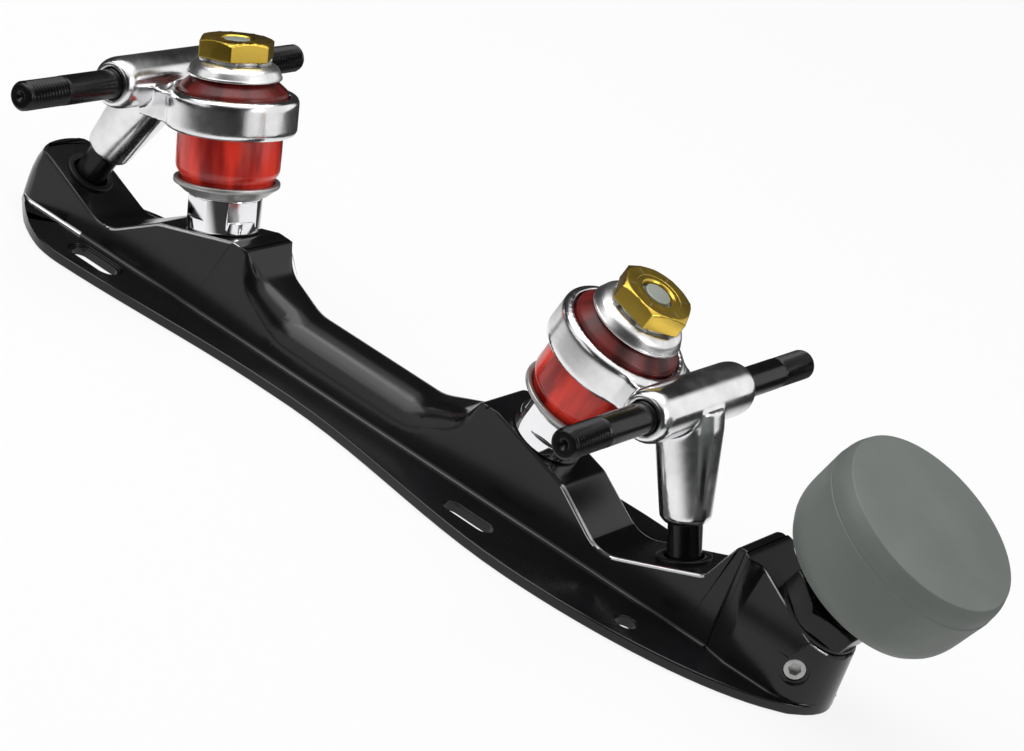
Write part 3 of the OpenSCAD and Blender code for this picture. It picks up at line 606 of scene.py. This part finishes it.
def bare_and_highlight_edges(piece):
    """Leaves the second finish only on the rounding along parts of the spine's
    top, along the walls' foot at the heel and along the sides of the toe
    stop's seat. On the spine's top and the seat this bright metal is a milled
    bare edge; along the foot at the heel it is a painted highlight."""
    mesh = piece.data
    c = np.empty(len(mesh.polygons) * 3)
    n = np.empty_like(c)
    second = np.empty(len(mesh.polygons), np.int32)
    mesh.polygons.foreach_get("center", c)
    mesh.polygons.foreach_get("normal", n)
    mesh.polygons.foreach_get("material_index", second)
    c, n = c.reshape(-1, 3) * 1000, n.reshape(-1, 3)
    x, y, z = c[:, 0], np.abs(c[:, 1]), c[:, 2]
    off, over = from_stop(c)
    aside = (np.abs(n[:, 1]) > 0.25) & (n[:, 2] > 0.2)
    top = (y > 8) & (y < 10) & (z > 8) & (
        ((x > -77) & (x < -37)) | ((x > 62) & (x < 106)))
    # Painted highlight: the bright metal along the walls' foot at the heel
    # stands in for the light on that rounding.
    heel = (x < -80) & (y > 8) & (y < 10.2) & (np.abs(z - 2.7) < 1)
    seat = (np.abs(over) < 0.8) & (x > 113) & (off > 8.05) & (y > 6.5)
    second[~(aside & (top | heel | seat))] = 0
    mesh.polygons.foreach_set("material_index", second)


def make_plate():
    """The plate body, with rounded edges in two finishes: black, and a bright
    metal that is partly milled bare edge and partly painted highlight.
    """
    plate = copy_of("plate_body_finished", "plate_body")
    settle(plate, "plate", "plate", BLACK, "plate_body")
    plate.data.materials.append(BARE_AND_HIGHLIGHT)
    every = np.arange(-104.3, 134, 3.7)
    edge_round(plate, 0.9, share=rim_share, cuts=clear_cuts(plate, every),
               material=1)
    bare_and_highlight_edges(plate)


def make_pin_and_cups(name, king):
    """Kingpin, lock sleeve and the two cups that hold the cushions."""
    pin = turned(eased([
        (0, -15), (4.15, -15), (KINGPIN_R, -14.2), (KINGPIN_R, 44.2, 0.3),
        (3.1, 44.4, 0.2), (3.1, 45.7, 0.3), (0, 45.7)]),
        threads=[(32, 44, 1.25, 0.35)])
    settle(piece_from(name + "_kingpin_turned", pin, king), "plate",
           "kingpin", GREY, name + "_kingpin")

    sleeve = copy_of(name + "_lock_sleeve_milled", name + "_lock_sleeve")
    edge_round(sleeve, 0.18, 30, 2)
    settle(sleeve, "plate", "lock_sleeve", CHROME, name + "_lock_sleeve")

    cup = turned_ring([
        (PIN_HOLE, 0, 0), (9.9, 0, 0.4), (12.2, 1.9, 0.15), (12.6, 2.05, 0.15),
        (12.7, 2.3, 0.15), (12.7, 3.15, 0.35), (11.5, 3.15, 0.35),
        (11.3, 2.3, 0.4), (9.2, 1.1, 0.4), (PIN_HOLE, 1.1, 0)])
    settle(piece_from(name + "_lower_cup_pressed", cup,
                      up_from(king, LOW_CUP)),
           "plate", "cup", ZINC, name + "_lower_cup")

    bell = turned_ring([
        (PIN_HOLE, 0, 0), (8.7, 0, 0.6), (10.3, -0.9, 0.8), (11.1, -2.8, 0.3),
        (11.25, -3.0, 0.1), (11.25, -3.5, 0.2), (10.3, -3.5, 0.2),
        (10.1, -2.7, 0.4), (9.2, -1.2, 0.5), (PIN_HOLE, -1.0, 0)])
    settle(piece_from(name + "_upper_cup_pressed", bell,
                      up_from(king, UP_TOP)),
           "plate", "cup", CUP, name + "_upper_cup")


def make_cushions(name, king):
    """Both cushions, each between its cup and the hanger's web."""
    low = turned_ring([
        (5.15, 0.05, 0), (8.4, 0.05, 0.4), (11.0, 1.7, 0.3),
        (11.05, 2.5, 0.3), (12.4, 4.6, 0.9), (12.5, 10.5, 1.5),
        (12.4, 16.7, 0.5), (7.0, 16.7, 0), (5.15, 15.2, 0)])
    piece = piece_from(name + "_lower_cushion_cast", low,
                       up_from(king, LOW_FLOOR))
    settle(piece, None, "cushion", BRIGHT_RED, name + "_lower_cushion")
    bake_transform(piece)

    high = turned_ring([
        (7.0, 0, 0), (12.5, 0, 0.3), (13.1, 0.6, 0.3), (13.1, 3.6, 0.7),
        (9.5, 6.6, 0.3), (9.45, 7.3, 0.3), (7.3, 8.95, 0.3),
        (5.15, 8.95, 0), (5.15, 1.5, 0)])
    piece = piece_from(name + "_upper_cushion_cast", high,
                       up_from(king, WEB_TOP + 0.25))
    settle(piece, None, "cushion", DULL_RED, name + "_upper_cushion")
    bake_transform(piece)


def make_washer_and_nut(name, king):
    """Tabbed washer, top nut, and the turned mouth inside the nut."""
    tabs = copy_of(name + "_tab_washer_stamped", name + "_tab_washer")
    edge_round(tabs, 0.2, 30, 2)
    settle(tabs, "plate", "washer", ZINC, name + "_tab_washer")

    nut = copy_of(name + "_top_nut_plated", name + "_top_nut")
    edge_round(nut, 0.3, 25, 2)
    settle(nut, "plate", "nut", GOLD, name + "_top_nut")
    mouth = turned_ring([
        (PIN_HOLE + 0.5, 45.86), (4.3, 45.86, 0.15), (3.9, 45.4, 0.2),
        (3.9, 44.6, 0.2), (PIN_HOLE, 44.6), (PIN_HOLE + 0.5, 44.6)])
    settle(piece_from(name + "_top_nut_mouth", mouth, king), "plate", "nut",
           GOLD)


def make_axle_and_pivot(name, side, body):
    """Axle, and the pivot pin with the cup that it turns in."""
    rod = turned(eased([
        (0, -AXLE_HALF + 1.3), (1.3, -AXLE_HALF, 0.2),
        (2.8, -AXLE_HALF, 0.2), (AXLE_R, -AXLE_HALF + 0.7, 0.2),
        (AXLE_R, -20.1), (3.7, -19.9), (3.7, 19.9), (AXLE_R, 20.1),
        (AXLE_R, AXLE_HALF - 0.7, 0.2), (2.8, AXLE_HALF, 0.2),
        (1.3, AXLE_HALF, 0.2), (0, AXLE_HALF - 1.3)]), around=64,
        threads=[(-AXLE_HALF + 0.3, -36.5, 1.0, 0.42),
                 (36.5, AXLE_HALF - 0.3, 1.0, 0.42)])
    settle(piece_from(name + "_axle_threaded", rod, at_axle(side)), body,
           "axle", OXIDE, name + "_axle")

    pivot = at_pivot(side)
    ball_r, ball_h = 4.2, -2.6
    turn = np.radians(np.linspace(-90, 20, 12))
    ball = np.stack([ball_r * np.cos(turn), ball_h + ball_r * np.sin(turn)],
                    -1)
    ball[0, 0] = 0
    stub = turned(np.vstack([ball, [[3.9, -0.9], [3.9, 19.2], [0, 19.2]]]),
                  around=64)
    settle(piece_from(name + "_pivot_pin_turned", stub, pivot), body,
           "axle", OXIDE, name + "_pivot_pin")

    cup = turned_ring([
        (4.55, -2.6, 0), (4.55, 0.6, 0), (4.9, 0.8, 0.2), (6.3, 0.8, 0.4),
        (6.3, 0.02, 0), (5.9, 0.02, 0), (5.9, -8.2, 0), (3.2, -8.2, 0),
        (3.2, -5.5, 0)])
    settle(piece_from(name + "_pivot_cup_moulded", cup, pivot), "plate",
           "pivot_cup", MOULDED, name + "_pivot_cup")


def make_hanger(name, body):
    """The hanger with its inner corners blended: a fine voxel skin of the
    CAD solid, smoothed."""
    cast = copy_of(name + "_hanger_cast", name + "_hanger")
    remesh = cast.modifiers.new("skin", "REMESH")
    remesh.mode = "VOXEL"
    remesh.voxel_size = 0.00035
    remesh.use_smooth_shade = True
    soft = cast.modifiers.new("blends", "SMOOTH")
    soft.iterations = 10
    soft.factor = 0.6
    settle(cast, body, "hanger", POLISHED, name + "_hanger")


make_plate()
for name, side in SIDES:
    king, body = at_kingpin(side), name + "_truck"
    make_pin_and_cups(name, king)
    make_cushions(name, king)
    make_washer_and_nut(name, king)
    make_axle_and_pivot(name, side, body)
    make_hanger(name, body)

stem = turned(eased([
    (0, -13), (6.9, -13), (STEM_R, -12, 0.2), (STEM_R, 19.9), (13, 19.9),
    (13, 22.9), (0, 22.9)]), threads=[(-11, 15, 1.6, 0.5)])
settle(piece_from("toe_stop_stem_threaded", stem, at_stop()), "toe_stop",
       "stop_steel", OXIDE, "toe_stop_stem")

pad = turned(eased([
    (8.0, 0), (19.8, 0, 1.2), (22.7, 4.4, 4.0), (23.4, 16.4, 0.3),
    (23.15, 16.6, 0.15), (23.3, 17.0, 0.3), (23.1, 19.4, 1.2),
    (22.1, 21.8, 0.3), (13, 22.5, 4), (0, 22.8)], 6), around=160)
settle(piece_from("toe_stop_rubber_moulded", pad,
                  up_from(at_stop(), STAND_OFF), 50),
       "toe_stop", "stop_rubber", RUBBER, "toe_stop_rubber")

for part, body, slot, material, width in (
        ("toe_stop_washer", "plate", "stop_steel", OXIDE, 0.2),
        ("toe_stop_nut", "plate", "stop_steel", OXIDE, 0.3),
        ("toe_set_screw", "plate", "set_screw", ZINC, 0.2)):
    piece = copy_of(part + "_finished", part)
    edge_round(piece, width, 25, 2)
    settle(piece, body, slot, material, part)


# ---------------------------------------------------------------- stage

def make_floor():
    """Pale floor. The camera sees mostly a plain glow in it, and reflections
    see a glow that fades out away from the part."""
    mesh = bpy.data.meshes.new("floor")
    half, low = 3.0, -0.0002
    mesh.from_pydata([(-half, -half, low), (half, -half, low),
                      (half, half, low), (-half, half, low)], [],
                     [(0, 1, 2, 3)])
    floor = bpy.data.objects.new("floor", mesh)
    bpy.context.scene.collection.objects.link(floor)
    m = bpy.data.materials.new("pale_floor")
    m.use_nodes = True
    tree = m.node_tree
    link = tree.links.new
    shader = tree.nodes["Principled BSDF"]
    shader.inputs["Base Color"].default_value = (0.7, 0.7, 0.7, 1)
    shader.inputs["Roughness"].default_value = 0.9
    shader.inputs["Specular IOR Level"].default_value = 0.0
    out = tree.nodes["Material Output"]
    path = node(tree, "ShaderNodeLightPath")
    place = node(tree, "ShaderNodeTexCoord")
    squeeze = node(tree, "ShaderNodeVectorMath", operation="MULTIPLY",
                   in_1=(0.5, 1, 0))
    away = node(tree, "ShaderNodeVectorMath", operation="LENGTH")
    fade = node(tree, "ShaderNodeMapRange", interpolation_type="SMOOTHSTEP",
                in_1=0.07, in_2=0.16, in_3=1.0, in_4=0.04)
    mirror = node(tree, "ShaderNodeMath", operation="MAXIMUM")
    seen = node(tree, "ShaderNodeMath", operation="MULTIPLY", in_1=0.87)
    share = node(tree, "ShaderNodeMath", operation="MAXIMUM")
    level = node(tree, "ShaderNodeMix", data_type="FLOAT", in_2=1.0)
    glow = node(tree, "ShaderNodeEmission", in_0=WHITE)
    mix = node(tree, "ShaderNodeMixShader")
    link(place.outputs["Object"], squeeze.inputs[0])
    link(squeeze.outputs[0], away.inputs[0])
    link(away.outputs["Value"], fade.inputs[0])
    link(path.outputs["Is Glossy Ray"], mirror.inputs[0])
    link(path.outputs["Is Transmission Ray"], mirror.inputs[1])
    link(path.outputs["Is Camera Ray"], seen.inputs[0])
    link(seen.outputs[0], share.inputs[0])
    link(mirror.outputs[0], share.inputs[1])
    link(mirror.outputs[0], level.inputs[0])
    link(fade.outputs[0], level.inputs[3])
    link(level.outputs[0], glow.inputs["Strength"])
    link(share.outputs[0], mix.inputs[0])
    link(shader.outputs[0], mix.inputs[1])
    link(glow.outputs[0], mix.inputs[2])
    link(mix.outputs[0], out.inputs["Surface"])
    mesh.materials.append(m)


def make_world():
    """White for the camera, softly graded light for the surfaces, and for
    reflections a bright sky with two bright walls."""
    world = bpy.data.worlds.new("studio")
    bpy.context.scene.world = world
    world.use_nodes = True
    tree = world.node_tree
    link = tree.links.new
    tree.nodes.clear()
    out = node(tree, "ShaderNodeOutputWorld")
    place = node(tree, "ShaderNodeTexCoord")
    split = node(tree, "ShaderNodeSeparateXYZ")
    link(place.outputs["Generated"], split.inputs[0])
    above = node(tree, "ShaderNodeMapRange", interpolation_type="SMOOTHSTEP",
                 in_1=0.64, in_2=0.84)
    link(split.outputs[2], above.inputs[0])
    bright = above.outputs[0]
    for way, low, high in (((0.857, 0.515, 0), 0.45, 0.62),
                           ((-0.595, -0.804, 0.1), 0.84, 0.92)):
        dot = node(tree, "ShaderNodeVectorMath", operation="DOT_PRODUCT",
                   in_1=way)
        box = node(tree, "ShaderNodeMapRange", interpolation_type="SMOOTHSTEP",
                   in_1=low, in_2=high)
        both = node(tree, "ShaderNodeMath", operation="MAXIMUM")
        link(place.outputs["Generated"], dot.inputs[0])
        link(dot.outputs["Value"], box.inputs[0])
        link(box.outputs[0], both.inputs[0])
        link(bright, both.inputs[1])
        bright = both.outputs[0]
    least = node(tree, "ShaderNodeMath", operation="MAXIMUM", in_1=0.02)
    link(bright, least.inputs[0])
    path = node(tree, "ShaderNodeLightPath")
    shine = node(tree, "ShaderNodeBackground", in_0=WHITE)
    even = node(tree, "ShaderNodeBackground", in_0=WHITE)
    white = node(tree, "ShaderNodeBackground", in_0=WHITE, in_1=1.0)
    height = node(tree, "ShaderNodeMapRange", in_1=-0.6, in_3=0.2, in_4=0.6)
    link(split.outputs[2], height.inputs[0])
    link(height.outputs[0], even.inputs[1])
    link(least.outputs[0], shine.inputs[1])
    first = node(tree, "ShaderNodeMixShader")
    second = node(tree, "ShaderNodeMixShader")
    link(path.outputs["Is Glossy Ray"], first.inputs[0])
    link(even.outputs[0], first.inputs[1])
    link(shine.outputs[0], first.inputs[2])
    link(path.outputs["Is Camera Ray"], second.inputs[0])
    link(first.outputs[0], second.inputs[1])
    link(white.outputs[0], second.inputs[2])
    link(second.outputs[0], out.inputs[0])


def make_lamp(name, place, aim, size, power):
    data = bpy.data.lights.new(name, "AREA")
    data.shape = "RECTANGLE"
    data.size, data.size_y = size
    data.energy = power
    o = bpy.data.objects.new(name, data)
    o.location = place
    way = Vector(aim) - Vector(place)
    o.rotation_euler = way.to_track_quat("-Z", "Y").to_euler()
    bpy.context.scene.collection.objects.link(o)


def make_camera():
    """The photograph's camera, from its fitted focal length, axes and
    place."""
    focal, width = 3208.43366, 1024
    data = bpy.data.cameras.new("camera")
    data.sensor_width = 36
    data.lens = focal * 36 / width
    data.clip_start = 0.05
    o = bpy.data.objects.new("camera", data)
    right = Vector((0.7638142, 0.55897591, 0.32269768))
    up = Vector((-0.48497143, 0.16712803, 0.85841187))
    back = Vector((0.42589973, -0.81216633, 0.39874211))
    m = Matrix((right, up, back)).transposed().to_4x4()
    m.translation = (0.34348994, -0.585859, 0.31576183)
    o.matrix_world = m
    bpy.context.scene.collection.objects.link(o)
    bpy.context.scene.camera = o


bpy.context.scene.view_settings.view_transform = "Standard"
make_floor()
make_world()
make_lamp("overhead", (-0.1, 0.1, 1.0), (0, 0, 0.02), (0.9, 0.6), 5)
make_lamp("key", (-0.47, -0.33, 0.72), (0, 0, 0.02), (0.7, 0.55), 3.2)
make_lamp("right", (0.9, -0.1, 0.6), (0, 0, 0.03), (0.2, 0.5), 2.5)
make_camera()
